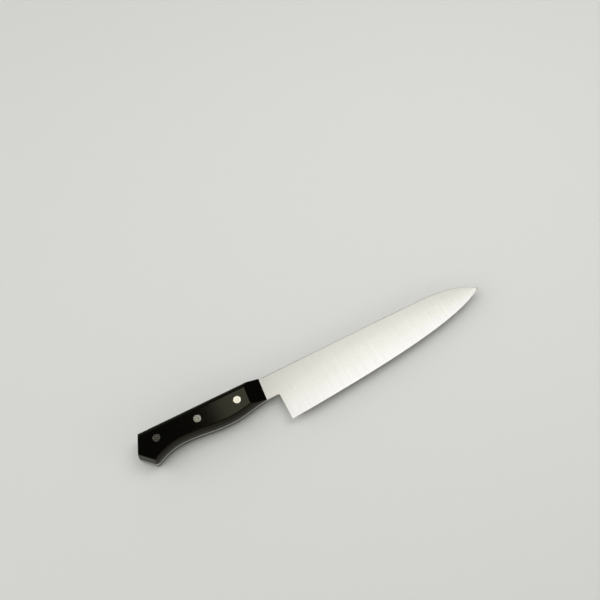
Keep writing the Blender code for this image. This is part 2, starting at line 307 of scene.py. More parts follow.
def build_piece(name, sheets, finish, node, value_name):
    """One closed mesh from sheets of x, y, z and value, in the place of a CAD node."""
    points, quads, start = [], [], 0
    for sheet, kept in sheets:
        points.append(sheet.reshape(-1, 4))
        quads.append(cell_quads(*sheet.shape[:2], kept) + start)
        start += len(points[-1])
    points, quads = np.concatenate(points), np.concatenate(quads)

    mesh = bpy.data.meshes.new(name)
    mesh.from_pydata(in_frame(points[:, :3]).tolist(), [], quads.tolist())
    value = mesh.attributes.new(value_name, "FLOAT", "POINT")
    value.data.foreach_set("value", points[:, 3].astype(np.float32))

    work = bmesh.new()
    work.from_mesh(mesh)
    bmesh.ops.remove_doubles(work, verts=work.verts, dist=WELD)
    bmesh.ops.recalc_face_normals(work, faces=work.faces)
    open_edges = sum(1 for edge in work.edges if len(edge.link_faces) != 2)
    work.to_mesh(mesh)
    work.free()
    mesh.shade_smooth()
    mesh.set_sharp_from_angle(angle=CREASE_ANGLE)
    mesh.materials.append(finish)

    piece = bpy.data.objects.new(name, mesh)
    bpy.context.scene.collection.objects.link(piece)
    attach(piece, "root")
    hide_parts(node)
    print(name, "has", len(mesh.polygons), "faces and", open_edges, "open edges")
    return piece


def sheet_of(*numbers):
    """Stacks x, y, z and the value into one sheet, stretching single numbers to the grid."""
    return np.stack(np.broadcast_arrays(*numbers), -1).astype(float)


def strip_between(near, far, steps=1):
    """A sheet of straight lines from each point of one border to the same point of another."""
    share = np.linspace(0, 1, steps + 1)[:, None, None]
    return near[None] * (1 - share) + far[None] * share


def mirrored(sheet):
    """The same sheet on the other side of the blade's middle plane."""
    return sheet * np.array([1, 1, -1, 1])


# %% [markdown]
# Both the blade and the handle are drawn from a few curves. A cubic curve is enough for each:
# its two ends and how far each end runs on straight. The edge is nearly straight at the heel
# and climbs 31 degrees at the tip. The spine climbs a little along the blade and turns down
# over its last 55 mm. They are sampled once, finely, and read back by interpolation.

# %% Outlines of the blade
HEEL_HEIGHT = 45.6
SPINE_RISE = 1.2
SPINE_TURN = 55
TIP_DROP = 13.6
TIP_BLUNT = 0.3
EDGE_HEEL_SLOPE = math.tan(math.radians(3.4))
EDGE_TIP_SLOPE = math.tan(math.radians(31))
SPINE_TIP_SLOPE = math.tan(math.radians(32))
EDGE_REACHES = (0.6 * BLADE_LENGTH, 0.12 * BLADE_LENGTH)
SPINE_REACHES = (0.7 * SPINE_TURN, 0.1 * SPINE_TURN)
CURVE_SAMPLES = 400
BEHIND_BUTT = -160


def smooth_step(share):
    """Goes from 0 to 1 with level ends: three times the square less twice the cube."""
    share = np.clip(share, 0, 1)
    return share * share * (3 - 2 * share)


def cubic(start, start_reach, end, end_reach):
    """Points of a curve: its ends weigh (1-t)^3 and t^3, and their reaches 3(1-t)^2t and 3(1-t)t^2."""
    t = np.linspace(0, 1, CURVE_SAMPLES)[:, None]
    start, end = np.array(start, float), np.array(end, float)
    near, far = start + start_reach, end - end_reach
    return (1 - t) ** 3 * start + 3 * (1 - t) ** 2 * t * near + 3 * (1 - t) * t**2 * far + t**3 * end


crest = HEEL_HEIGHT + SPINE_RISE
tip_middle = crest - TIP_DROP
heel_reach, edge_reach = EDGE_REACHES
EDGE_LINE = cubic(
    (0, 0),
    (heel_reach, heel_reach * EDGE_HEEL_SLOPE),
    (BLADE_LENGTH, tip_middle - TIP_BLUNT / 2),
    (edge_reach, edge_reach * EDGE_TIP_SLOPE),
)
turn_reach, tip_reach = SPINE_REACHES
SPINE_LINE = np.concatenate([
    [(BEHIND_BUTT, HEEL_HEIGHT), (0, HEEL_HEIGHT)],
    cubic(
        (BLADE_LENGTH - SPINE_TURN, crest),
        (turn_reach, 0),
        (BLADE_LENGTH, tip_middle + TIP_BLUNT / 2),
        (tip_reach, -tip_reach * SPINE_TIP_SLOPE),
    ),
])


def edge_height(x):
    """Height of the cutting edge: its sampled curve, read at X."""
    return np.interp(x, *EDGE_LINE.T)


def spine_height(x):
    """Height of the spine: level over the handle, a straight climb, then its sampled curve."""
    return np.interp(x, *SPINE_LINE.T)


print("tip between", EDGE_LINE[-1].round(2), "and", SPINE_LINE[-1].round(2))

# %% [markdown]
# The handle's underside starts in the small round corner behind the heel, the choil. It swells
# for the palm, draws in for the little finger and hooks down into the pommel's arc, which runs
# out tangent to the slanting flat. The flat ends at the butt, the rearmost point. All of that
# is one path, and every point of it knows which way is inwards. The hook meets the arc in its
# own direction, because a bend that is tighter than the wood's rounding would pinch the skin.

# %% Outline of the handle
NECK_HEIGHT = 20.4
NECK_RUN = 6
CHOIL_RADIUS = 1.5
BULGE_DEPTH = 25.4
WAIST_DEPTH = 22.1
WAIST_SETBACK = 38.5
HANDLE_LENGTH = 128.5
BUTT_HEIGHT = 18.4
BUTT_LEAN = math.radians(21)
FACET_HEIGHT = 10.8
FACET_ANGLE = math.radians(45)
POMMEL_RADIUS = 4
HOOK_SLOPE = math.radians(29)
HOOK_REACHES = (0.49, 0.1)
SWELL_REACH = 0.42
CHOIL_STEPS = 40
POMMEL_STEPS = 90

BUTT_CORNER = np.array([-HANDLE_LENGTH, HEEL_HEIGHT - BUTT_HEIGHT])
BUTT_RISE = np.array([math.sin(BUTT_LEAN), math.cos(BUTT_LEAN)])
BUTT_TOP = BUTT_CORNER + BUTT_RISE * BUTT_HEIGHT / BUTT_RISE[1]


def underside_path():
    """Choil, neck, palm swell, waist, hook, pommel arc and slanting flat, end to end."""
    under_neck = HEEL_HEIGHT - NECK_HEIGHT
    quarter = np.linspace(0, math.pi / 2, CHOIL_STEPS)
    choil = CHOIL_RADIUS * np.stack([np.cos(quarter) - 1, np.sin(quarter) - 1], -1)
    neck = np.array([-NECK_RUN, under_neck])
    waist = np.array([-HANDLE_LENGTH + WAIST_SETBACK, HEEL_HEIGHT - WAIST_DEPTH])
    bulge = np.array([(neck[0] + waist[0]) / 2, HEEL_HEIGHT - BULGE_DEPTH])
    lowest = BUTT_CORNER + (FACET_HEIGHT / math.tan(FACET_ANGLE), -FACET_HEIGHT)
    lowest = lowest + (POMMEL_RADIUS * math.tan(FACET_ANGLE / 2), 0)
    swell = np.array([SWELL_REACH * (bulge[0] - neck[0]), 0])
    bend = np.linspace(-HOOK_SLOPE, FACET_ANGLE, POMMEL_STEPS)[:, None]
    arc = lowest + POMMEL_RADIUS * np.concatenate([-np.sin(bend), 1 - np.cos(bend)], -1)
    hook = arc[0, 0] - waist[0]
    downhill = HOOK_REACHES[1] * hook * np.array([math.cos(HOOK_SLOPE), math.sin(HOOK_SLOPE)])
    return np.concatenate([
        choil + (0, under_neck),
        cubic(neck, swell, bulge, swell),
        cubic(bulge, swell, waist, swell)[1:],
        cubic(waist, (HOOK_REACHES[0] * hook, 0), arc[0], downhill)[1:],
        arc[1:],
        [BUTT_CORNER],
    ])


UNDERSIDE = underside_path()


def distances(path):
    """How far along the path each of its points lies."""
    steps = np.hypot(*np.diff(path, axis=0).T)
    return np.concatenate([[0], np.cumsum(steps)])


PATH_AT = distances(UNDERSIDE)
FLAT_START = PATH_AT[-2]
PATH_END = PATH_AT[-1]


def on_underside(at):
    """Points of the underside at these distances from the choil."""
    return np.stack([np.interp(at, PATH_AT, UNDERSIDE[:, axis]) for axis in (0, 1)], -1)


def unit(vectors):
    """The same directions, each divided by its own length."""
    return vectors / np.hypot(*vectors.T)[:, None]


def inwards(at, span=0.05):
    """Unit vectors square to the underside, into the handle, from two points close by."""
    at = np.clip(at, span, PATH_END - span)
    along = on_underside(at + span) - on_underside(at - span)
    return unit(np.stack([along[:, 1], -along[:, 0]], -1))


print("underside", round(PATH_END, 1), "mm long, flat from", round(FLAT_START, 1))

# %% [markdown]
# Rivets pass through scales and tang, so their sheets have round holes. A grid has no round
# holes, but a block of its cells can be left out around the centre, and the space between the
# block's rim and a circle is filled with rings of quads. Each ring is a mix of the two: the rim
# at the outside, the circle at the inside. That keeps every face a quad, with no Boolean.

# %% Round holes in a grid
RIVET_NAMES = ("front", "middle", "butt")
RIVET_PLACES = {name: from_heel(f"{name}_rivet_sleeve")[:2] for name in RIVET_NAMES}
HALF_BLOCK = 4.2
HOLE_RINGS = 4


def block_rim(sheet, centre):
    """Cells of a block around the centre that clears any of the circles, and its rim in order."""
    away = np.hypot(*(np.moveaxis(sheet[..., :2], -1, 0) - centre[:, None, None]))
    row, column = np.unravel_index(away.argmin(), away.shape)
    row_gap = np.hypot(*(sheet[row + 1, column, :2] - sheet[row, column, :2]))
    column_gap = np.hypot(*(sheet[row, column + 1, :2] - sheet[row, column, :2]))
    tall = math.ceil(HALF_BLOCK / row_gap)
    wide = math.ceil(HALF_BLOCK / column_gap)
    up, across = np.arange(-tall, tall), np.arange(-wide, wide)
    rim_rows = np.concatenate([np.full(2 * wide, -tall), up, np.full(2 * wide, tall), -up])
    rim_columns = np.concatenate([across, np.full(2 * tall, wide), -across, np.full(2 * tall, -wide)])
    left_out = (slice(row - tall, row + tall), slice(column - wide, column + wide))
    rim = sheet[row + rim_rows, column + rim_columns]
    return left_out, np.concatenate([rim, rim[:1]])


def with_holes(sheet, radius):
    """The sheet's kept cells, its rings of quads, and the direction of each rim point by rivet."""
    kept = np.ones((sheet.shape[0] - 1, sheet.shape[1] - 1), bool)
    rings, bearings = [], {}
    for name, centre in RIVET_PLACES.items():
        left_out, rim = block_rim(sheet, centre)
        kept[left_out] = False
        bearing = np.arctan2(rim[:, 1] - centre[1], rim[:, 0] - centre[0])
        circle = rim.copy()
        circle[:, 0] = centre[0] + radius * np.cos(bearing)
        circle[:, 1] = centre[1] + radius * np.sin(bearing)
        rings.append((strip_between(circle, rim, HOLE_RINGS), None))
        bearings[name] = bearing
    return [(sheet, kept), *rings], bearings


def turned(profile, centre, bearing):
    """A sheet turned about an upright axis: each (radius, height, value) goes once round."""
    radius, height, value = (np.array(profile, float)[:, i, None] for i in range(3))
    x = centre[0] + radius * np.cos(bearing)
    y = centre[1] + radius * np.sin(bearing)
    return sheet_of(x, y, height, value)


print("rivets at", {name: place.round(1).tolist() for name, place in RIVET_PLACES.items()})

# %% [markdown]
# The blade is ground from 2 mm sheet. Seen in section its face is slightly convex: it leaves
# the sharpened bevel at a few degrees and rolls up into the flat below the spine, with no line
# between them. The half thickness is that of the flat less a square law: full at the top of the
# grind and thin at the bevel. The spine tapers towards the tip, and its corners are eased.

# %% Blade thickness
HALF_STOCK = 1.0
HALF_TIP = 0.4
TAPER_LENGTH = 110
HALF_BEVEL = 0.15
HALF_EDGE = 0.03
BEVEL_HEIGHT = 0.9
GRIND_RUN = 45
SPINE_FLAT = 10
POINT_WIDENING = 0.12
SPINE_EASE = 0.4
FLUSH_EASE = 0.02
SCALE_FRONT = -11
EASE_DELAY = 1
EASE_RUN = 6


def flat_half(x):
    """Half thickness of the flat: the stock, tapered to the tip, and never wider than its point."""
    taper = smooth_step((x - BLADE_LENGTH + TAPER_LENGTH) / TAPER_LENGTH)
    half = HALF_STOCK + (HALF_TIP - HALF_STOCK) * taper
    height = np.where(x > 0, spine_height(x) - edge_height(x), HEEL_HEIGHT)
    return np.minimum(half, HALF_BEVEL + POINT_WIDENING * height)


def grind_top(x):
    """Top of the ground face: a share of the blade's height that starts in the choil."""
    at_choil = (HEEL_HEIGHT - NECK_HEIGHT - CHOIL_RADIUS) / HEEL_HEIGHT
    full = 1 - SPINE_FLAT / HEEL_HEIGHT
    share = at_choil + (full - at_choil) * smooth_step(x / GRIND_RUN)
    return edge_height(x) + share * (spine_height(x) - edge_height(x))


def spine_ease(x):
    """Radius of the spine's corners: eased along the blade, all but none between the scales."""
    share = smooth_step((x - SCALE_FRONT - EASE_DELAY) / EASE_RUN)
    return FLUSH_EASE + (SPINE_EASE - FLUSH_EASE) * share


print("half thickness at the heel and tip", flat_half(np.array([0.0, BLADE_LENGTH])).round(2))

# %% [markdown]
# The blade's side is two sheets. The lower one is the grind, from the edge up, and exists only
# in front of the heel. The upper one is the flat and the tang: a single sheet from the butt to
# the tip, whose lower border is first the handle's underside and then the top of the grind. Its
# columns lean in the tang, because they have to end along the slanting butt.

# %% Blade sheets
BEVEL_ROWS = 3
GRIND_ROWS = 30
FLAT_ROWS = 22
EASE_ROWS = 4
ACROSS = 4
BLADE_COLUMNS = 190
TIP_CROWDING = 1.4
BEVEL_LIMIT = 0.25
EASE_LIMIT = 0.5
EASE_LIMIT_OF_HALF = 0.7
BELOW_EASE = 0.985
TANG_LEAN_FROM = 20
TANG_STATIONS = ((2.2, 0.15), (12, 0.6), (FLAT_START - 5, 0.7), (FLAT_START, 0.35), (PATH_END, 0.6))


def stations(start, spans):
    """Places along a path: each span goes on to its end in even steps near its own spacing."""
    places = [[start]]
    for end, spacing in spans:
        steps = max(1, round((end - start) / spacing))
        places.append(start + (end - start) * np.arange(1, steps + 1) / steps)
        start = end
    return np.concatenate(places)


def quarter_arc(count):
    """Sine and versed sine of a quarter turn in even steps: how high, and how far in."""
    turn = np.linspace(0, math.pi / 2, count + 1)
    return np.sin(turn), 1 - np.cos(turn)


def lower_side(x):
    """Edge to the top of the grind: a straight bevel, then the square law."""
    edge, top, half = edge_height(x), grind_top(x), flat_half(x)
    bevel = np.minimum(BEVEL_HEIGHT, BEVEL_LIMIT * (top - edge))
    up = np.linspace(0, 1, BEVEL_ROWS)[:, None]
    low_y, low_z = edge + bevel * up, HALF_EDGE + (HALF_BEVEL - HALF_EDGE) * up
    share = np.linspace(0, 1, GRIND_ROWS + 1)[1:, None]
    high_y = edge + bevel + (top - edge - bevel) * share
    high_z = half - (half - HALF_BEVEL) * (1 - share) ** 2
    y = np.concatenate([low_y, high_y])
    z = np.concatenate([np.broadcast_to(low_z, low_y.shape), high_z])
    return sheet_of(x, y, z, (y - edge) / (spine_height(x) - edge))


def upper_side(low, high, half):
    """Flat between two borders, then the eased corner of the spine, a quarter circle."""
    share = np.append(np.linspace(0, BELOW_EASE, FLAT_ROWS), 1)[:, None]
    ease = np.minimum(spine_ease(high[:, 0]), EASE_LIMIT * (high[:, 1] - low[:, 1]))
    ease = np.minimum(ease, EASE_LIMIT_OF_HALF * half)
    lift, pull = (arc[1:, None] for arc in quarter_arc(EASE_ROWS))
    y_top = high[:, 1] - ease
    flat_y = low[:, 1] + (y_top - low[:, 1]) * share
    y = np.concatenate([flat_y, y_top + ease * lift])
    along = (y - low[:, 1]) / (high[:, 1] - low[:, 1])
    x = low[:, 0] + (high[:, 0] - low[:, 0]) * along
    z = np.concatenate([np.broadcast_to(half, flat_y.shape), half - ease * pull])
    edge = edge_height(np.maximum(x, 0))
    return sheet_of(x, y, z, (y - edge) / (spine_height(x) - edge))


def tang_borders(at):
    """Underside and spine of neck and tang, matched so that the last column is the butt."""
    low = on_underside(at)
    share = smooth_step((at - TANG_LEAN_FROM) / (PATH_END - TANG_LEAN_FROM))
    lean = share * (BUTT_TOP[0] - BUTT_CORNER[0])
    high = np.stack([low[:, 0] + lean, np.full(len(at), HEEL_HEIGHT)], -1)
    return low, high


tang_at = stations(0, TANG_STATIONS)[::-1]
tang_low, tang_high = tang_borders(tang_at)
blade_x = BLADE_LENGTH * (1 - (1 - np.linspace(0, 1, BLADE_COLUMNS + 1)) ** TIP_CROWDING)
grind = np.stack([blade_x, grind_top(blade_x)], -1)
spine = np.stack([blade_x, spine_height(blade_x)], -1)
upper = upper_side(
    np.concatenate([tang_low, grind[1:]]),
    np.concatenate([tang_high, spine[1:]]),
    flat_half(np.concatenate([tang_low[:, 0], blade_x[1:]])),
)
lower = lower_side(blade_x)
print("blade sheets", upper.shape[:2], lower.shape[:2])

# %% [markdown]
# What is left are the narrow faces that join the two sides: the spine, the underside of the
# neck and tang, the back of the heel, the cutting edge, the tip and the butt. Each is a strip
# from a border of one side to the same border of its mirror image.

# %% Blade, closed
PIN_RADIUS = 1.65
TUBE_PLAY = 0.05
TUBE_WALL = 0.75
BORE_RADIUS = PIN_RADIUS + TUBE_PLAY
TUBE_RADIUS = BORE_RADIUS + TUBE_WALL
HOLE_RADIUS = TUBE_RADIUS + TUBE_PLAY
HEAD_DEPTH = 2.6
sleeve_low, sleeve_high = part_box("front_rivet_sleeve")
HEAD_RADIUS = (sleeve_high[0] - sleeve_low[0]) / MM / 2

side, tang_bearings = with_holes(upper, HOLE_RADIUS)
blade_sheets = [*side, (lower, None)]
blade_sheets += [(mirrored(sheet), kept) for sheet, kept in blade_sheets]
borders = [upper[-1], upper[0, : len(tang_at)], upper[:, 0], upper[:, -1]]
borders += [lower[0], lower[:, 0], lower[:, -1]]
blade_sheets += [(strip_between(border, mirrored(border), ACROSS), None) for border in borders]
for name, bearing in tang_bearings.items():
    wall = [(HOLE_RADIUS, HALF_STOCK, 0), (HOLE_RADIUS, -HALF_STOCK, 0)]
    blade_sheets.append((turned(wall, RIVET_PLACES[name], bearing), None))
print("blade in", len(blade_sheets), "sheets, rivet heads", round(2 * HEAD_RADIUS, 2), "mm across")

# %% [markdown]
# The steel is a martensitic stainless such as is used for kitchen knives, hardened, ground and
# then glazed on a fine wheel across its width. That leaves hairlines from spine to edge, so
# lamps are mirrored as soft streaks along the blade: an anisotropic gloss, whose tangent comes
# from the piece's own UV map. Towards the edge the face was thinned on a finer wheel, so it is
# glossier and a neutral white there, and a trace warmer towards the spine. Real hairlines are
# about 0.05 mm apart, too fine for this picture, so they are drawn about 0.4 mm apart. Hairlines,
# wood grain and scratches are one thing to a computer, noise that is long one way and fine
# another, so one function makes them all.

# %% Satin stainless steel
HAIRLINE_GAP = 0.4
HAIRLINE_RUN = 45
STEEL_LIGHT = "C0BFBE"
STEEL_DARK = "B8B7B6"
STEEL_WARMTH = "FAFAF1"
WARM_FROM = 0.45
STEEL_ROUGHNESS = (0.24, 0.30)
CLOUDS_PER_METRE = 35.0
CLOUD_HAZE = 0.02
HAIRLINE_DEPTH = 0.01


def streaks(tree, place, periods, **noise):
    """Noise at the place in millimetres divided by a period of its own for each axis."""
    per_metre = [1 / (period * MM) for period in periods]
    stretched = add_node(tree, "Mapping", {"Vector": place, "Scale": per_metre})
    return add_node(tree, "TexNoise", {"Vector": stretched, "Scale": 1.0, **noise})


def satin_stainless():
    """Satin steel: hairlines in colour and bump, glossier and neutral towards the edge."""
    material, tree = new_material("satin_ground_stainless_steel")
    place = add_node(tree, "TexCoord").outputs["Object"]
    hairlines = streaks(
        tree, place, (HAIRLINE_GAP, HAIRLINE_RUN, HAIRLINE_RUN), Detail=3.0, Roughness=0.6
    )
    clouds = add_node(tree, "TexNoise", {"Vector": place, "Scale": CLOUDS_PER_METRE, "Detail": 2.0})
    height = add_node(tree, "Attribute", attribute_name="share_of_height").outputs["Fac"]
    shades = [(0.3, linear(STEEL_DARK)), (0.65, linear(STEEL_LIGHT))]
    neutral = add_node(tree, "ValToRGB", {"Fac": hairlines}, stops=shades)
    warmer = add_node(tree, "MapRange", {"Value": height, "From Max": WARM_FROM})
    colour = add_node(
        tree,
        "MixRGB",
        {"Fac": warmer, "Color1": neutral, "Color2": linear(STEEL_WARMTH)},
        blend_type="MULTIPLY",
    )
    gloss = add_node(
        tree,
        "MapRange",
        {"Value": height, "To Min": STEEL_ROUGHNESS[0], "To Max": STEEL_ROUGHNESS[1]},
    )
    haze = add_node(tree, "MapRange", {"Value": clouds, "To Min": -CLOUD_HAZE, "To Max": CLOUD_HAZE})
    roughness = add_node(tree, "Math", {0: gloss, 1: haze})
    bump = add_node(
        tree, "Bump", {"Height": hairlines, "Strength": 0.1, "Distance": HAIRLINE_DEPTH * MM}
    )
    tangent = add_node(tree, "Tangent", direction_type="UV_MAP", uv_map="grind")
    shader = add_node(
        tree,
        "BsdfPrincipled",
        {
            "Base Color": colour,
            "Metallic": 1.0,
            "Roughness": roughness,
            "Anisotropic": 0.4,
            "Normal": bump,
            "Tangent": tangent,
        },
    )
    add_node(tree, "OutputMaterial", {"Surface": shader})
    return material


def add_side_uv(piece, name):
    """A UV map that is the side view in metres: U along the knife and V up it."""
    mesh = piece.data
    corners = np.empty(len(mesh.loops), int)
    mesh.loops.foreach_get("vertex_index", corners)
    places = np.empty(len(mesh.vertices) * 3)
    mesh.vertices.foreach_get("co", places)
    uv = places.reshape(-1, 3)[corners][:, :2]
    mesh.uv_layers.new(name=name).data.foreach_set("uv", uv.astype(np.float32).ravel())


blade = build_piece(
    "gyuto_blade", blade_sheets, satin_stainless(), "blade", "share_of_height"
)
add_side_uv(blade, "grind")

# %% [markdown]
# A scale is half of the handle: a slab of black laminated wood glued to the tang. Its outer
# skin is one grid that follows the handle's outline. From the underside the rows first climb
# the rounded belly, an ellipse from the tang to the face. They cross the flat face, and go over
# the spine's rounded corner and down the spine. The ellipse would end about a tenth of a
# millimetre above the face, so the two meet in a fine line, the crest, that catches the light.
# The crest draws in towards the pommel. There the ellipse turns into the slanting flat, which
# leans in a little and ends in a crisp, barely broken edge. Both profiles have the same number
# of points, so one can simply be mixed into the other.

# %% Profiles of a scale
SCALE_INNER = 1.05
SCALE_OUTER = -from_heel("left_scale")[2] * 2 - SCALE_INNER
BELLY_REACH = 3.7
POMMEL_REACH = 2.3
CREST_TURN = math.radians(80)
CREST_BAND = math.radians(5)
CREST_SOFTNESS = 0.06
FACET_LEAN = 1.3
FACET_ROUND = 0.35
FACET_MIX = 5
SPINE_REACH = 4.5
SPINE_DEPTH = 2.1
WALL_ROWS = 34
CREST_ROWS = 8
ARC_ROWS = 16
FACE_ROWS = 26


def lower_of(first, second, softness):
    """Smooth minimum, and how close the two are: 1 where they cross, 0 past the softness."""
    close = np.clip(1 - np.abs(first - second) / softness, 0, 1)
    return np.minimum(first, second) - close**2 * softness / 4, close


def round_belly(at, front_at):
    """Inset, height and closeness to the crest: an ellipse that passes the face at the crest."""
    below = np.linspace(0, CREST_TURN - CREST_BAND, WALL_ROWS + 1)[:-1]
    across = np.linspace(CREST_TURN - CREST_BAND, CREST_TURN + CREST_BAND, CREST_ROWS + 1)
    turn = np.concatenate([below, across])[:, None]
    reach = np.interp(at, (front_at, FLAT_START), (BELLY_REACH, POMMEL_REACH))
    inset = reach * (1 - np.cos(turn)) / (1 - math.cos(CREST_TURN))
    climb = (SCALE_OUTER - SCALE_INNER) * np.sin(turn) / math.sin(CREST_TURN)
    height, crossing = lower_of(SCALE_INNER + climb, SCALE_OUTER, CREST_SOFTNESS)
    return inset, height, crossing


def flat_facet():
    """Inset and height: a straight line that leans in, and an arc that is tangent to both faces."""
    lean = math.atan2(FACET_LEAN, SCALE_OUTER - SCALE_INNER)
    turn = (math.pi / 2 - lean) * np.linspace(1, 0, CREST_ROWS + 1)
    arc_in = FACET_LEAN + FACET_ROUND * (math.tan(turn[0] / 2) - np.sin(turn))
    arc_up = SCALE_OUTER - FACET_ROUND * (1 - np.cos(turn))
    share = np.linspace(0, 1, WALL_ROWS + 1)[:-1]
    inset = np.concatenate([arc_in[0] * share, arc_in])
    height = np.concatenate([SCALE_INNER + (arc_up[0] - SCALE_INNER) * share, arc_up])
    return inset[:, None], height[:, None]


def belly_profile(at, front_at):
    """Distance in from the outline and height, by row and station, and closeness to the crest."""
    round_in, round_up, crossing = round_belly(at, front_at)
    flat_in, flat_up = flat_facet()
    mix = smooth_step((at - FLAT_START + FACET_MIX) / FACET_MIX)
    inset = round_in * (1 - mix) + flat_in * mix
    height = round_up * (1 - mix) + flat_up * mix
    return inset, height, crossing * (1 - mix)


print("scale from", SCALE_INNER, "to", round(SCALE_OUTER, 2), "mm from the middle plane")

# %% [markdown]
# Two cuts shape the slab further, and each is a height over the side view. The ramp at the
# front is a tilted plane, and the butt's edge is broken by a small round. The skin is the
# lowest of its own profile and these, because a cut only takes away. A plain minimum would
# leave a knife-sharp line, so a smooth one is used, which rubs the arris down by less than a
# tenth of a millimetre, as sanding does. How much it rubs is kept as the surface's value, and
# the wood is a little glossier there.

# %% Height of a scale
BUTT_ROUND = 0.5
BUTT_RUB = 0.5
FRONT_EDGE = 1.0
RAMP_LENGTH = 15.5
RAMP_SKEW = math.tan(math.radians(5.5))
RAMP_SLOPE = (SCALE_OUTER - SCALE_INNER - FRONT_EDGE) / RAMP_LENGTH
FRONT_MIDDLE = HEEL_HEIGHT - NECK_HEIGHT / 2
ARRIS_SOFTNESS = 0.3


def behind_front(x, y):
    """Distance behind the slanting line where a scale ends at the tang."""
    return SCALE_FRONT + (y - FRONT_MIDDLE) * RAMP_SKEW - x


def before_butt(x, y):
    """Distance in front of the plane of the butt."""
    return (x - BUTT_CORNER[0]) * BUTT_RISE[1] - (y - BUTT_CORNER[1]) * BUTT_RISE[0]


def cut_down(x, y, height):
    """The profile's height after the ramp and the butt's round have been cut."""
    ramp = SCALE_INNER + FRONT_EDGE + RAMP_SLOPE * behind_front(x, y)
    height, crossing = lower_of(height, ramp, ARRIS_SOFTNESS)
    share = np.clip(1 - before_butt(x, y) / BUTT_ROUND, 0, 1)
    end = SCALE_OUTER - BUTT_ROUND * (1 - np.sqrt(1 - share**2))
    return np.minimum(height, end), np.maximum(crossing, BUTT_RUB * share**2)


print("ramp rises", round(math.degrees(math.atan(RAMP_SLOPE)), 1), "degrees")

# %% [markdown]
# The first column of the grid has to lie along the front and the last along the butt. So the
# columns of the ramp all keep the front's slant, which puts some of them right on its crest.
# From there their direction turns to the outline's own square and on to the butt's lean.
# Distances are still measured square to the outline, which makes a leaning column longer by one
# over the cosine. Along the spine the columns are spread so that none crosses its neighbour.

# %% Grid of a scale
SPINE_WALL_ROWS = 6
SLANT_RUN = 19
TURN_RUN = 20
RAMP_CREST = (RAMP_LENGTH - 1.2, RAMP_LENGTH + 1.2)
HOOK_BAND = (FLAT_START - 14, FLAT_START + 0.6)
BUTT_BAND = 2.4
COLUMN_GAPS = (0.2, 0.15, 0.75, 0.3, 0.6)


def column_bases(at, front_at):
    """Outline point of each column, the way it leans, and its length per millimetre inwards."""
    square = inwards(at)
    front = np.array([RAMP_SKEW, 1])
    from_front = 1 - smooth_step((at - front_at - SLANT_RUN) / TURN_RUN)
    to_butt = smooth_step((at - FLAT_START) / (PATH_END - FLAT_START))
    lean = unit(square * (1 - from_front)[:, None] + front * from_front[:, None])
    lean = unit(lean * (1 - to_butt)[:, None] + BUTT_RISE * to_butt[:, None])
    stretch = 1 / (lean * square).sum(-1)
    return on_underside(at), lean, stretch


def scale_columns():
    """Stations of the columns: close at the ramp's crest, the hook and the butt's round."""
    front_at = np.interp(0, behind_front(*UNDERSIDE.T), PATH_AT)
    crest_ends = [front_at + end for end in RAMP_CREST]
    ends = [*crest_ends, *HOOK_BAND, PATH_END - BUTT_BAND]
    near_butt = PATH_END - BUTT_BAND * (1 - quarter_arc(ARC_ROWS)[0][1:])
    return front_at, np.concatenate([stations(front_at, zip(ends, COLUMN_GAPS)), near_butt])


front_at, column_at = scale_columns()
print("scale has", len(column_at), "columns from", round(front_at, 1), "mm behind the choil")

# %% [markdown]
# With the columns set, the skin is put together zone by zone: belly, face, spine corner and
# spine wall. The inner side, against the tang, is the same grid pressed flat, so the two share
# their borders and each rivet hole lies under its counterbore.

# %% Sheets of a scale
HEAD_PLAY = 0.01
HEAD_SUNK = 0.03
HEAD_TOP = SCALE_OUTER - HEAD_SUNK
HEAD_SEAT = HEAD_TOP - HEAD_DEPTH
SPREAD_BY_PATH = 0.35


def scale_plan(inset, at, front_at):
    """Side-view places of every row: out from the belly, over the face, up to the spine."""
    base, lean, stretch = column_bases(at, front_at)
    belly = base + lean * (inset * stretch)[..., None]
    inner = belly[-1]
    spine_y = HEEL_HEIGHT - SPINE_REACH
    slanted = inner[:, 0] + (spine_y - inner[:, 1]) * RAMP_SKEW
    last = BUTT_CORNER[0] + (spine_y - BUTT_CORNER[1]) * BUTT_RISE[0] / BUTT_RISE[1]
    beyond = np.maximum(at - front_at - SLANT_RUN, 0)
    turn = np.flatnonzero(at <= front_at + SLANT_RUN)[-1]
    behind = np.maximum(base[turn, 0] - base[:, 0], 0)
    spread = SPREAD_BY_PATH * beyond + (1 - SPREAD_BY_PATH) * behind
    spread = spread / spread[-1]
    top_x = np.where(beyond > 0, slanted[turn] + (last - slanted[turn]) * spread, slanted)
    top = np.stack([top_x, np.full(len(at), spine_y)], -1)
    ease = smooth_step(spread)
    share = np.linspace(0, 1, FACE_ROWS + 1)[1:, None, None]
    face = inner + (top - inner) * share
    up = np.array([RAMP_SKEW, 1]) * (1 - ease)[:, None]
    up = up + np.array([BUTT_RISE[0] / BUTT_RISE[1], 1]) * ease[:, None]
    return belly, face, top, up


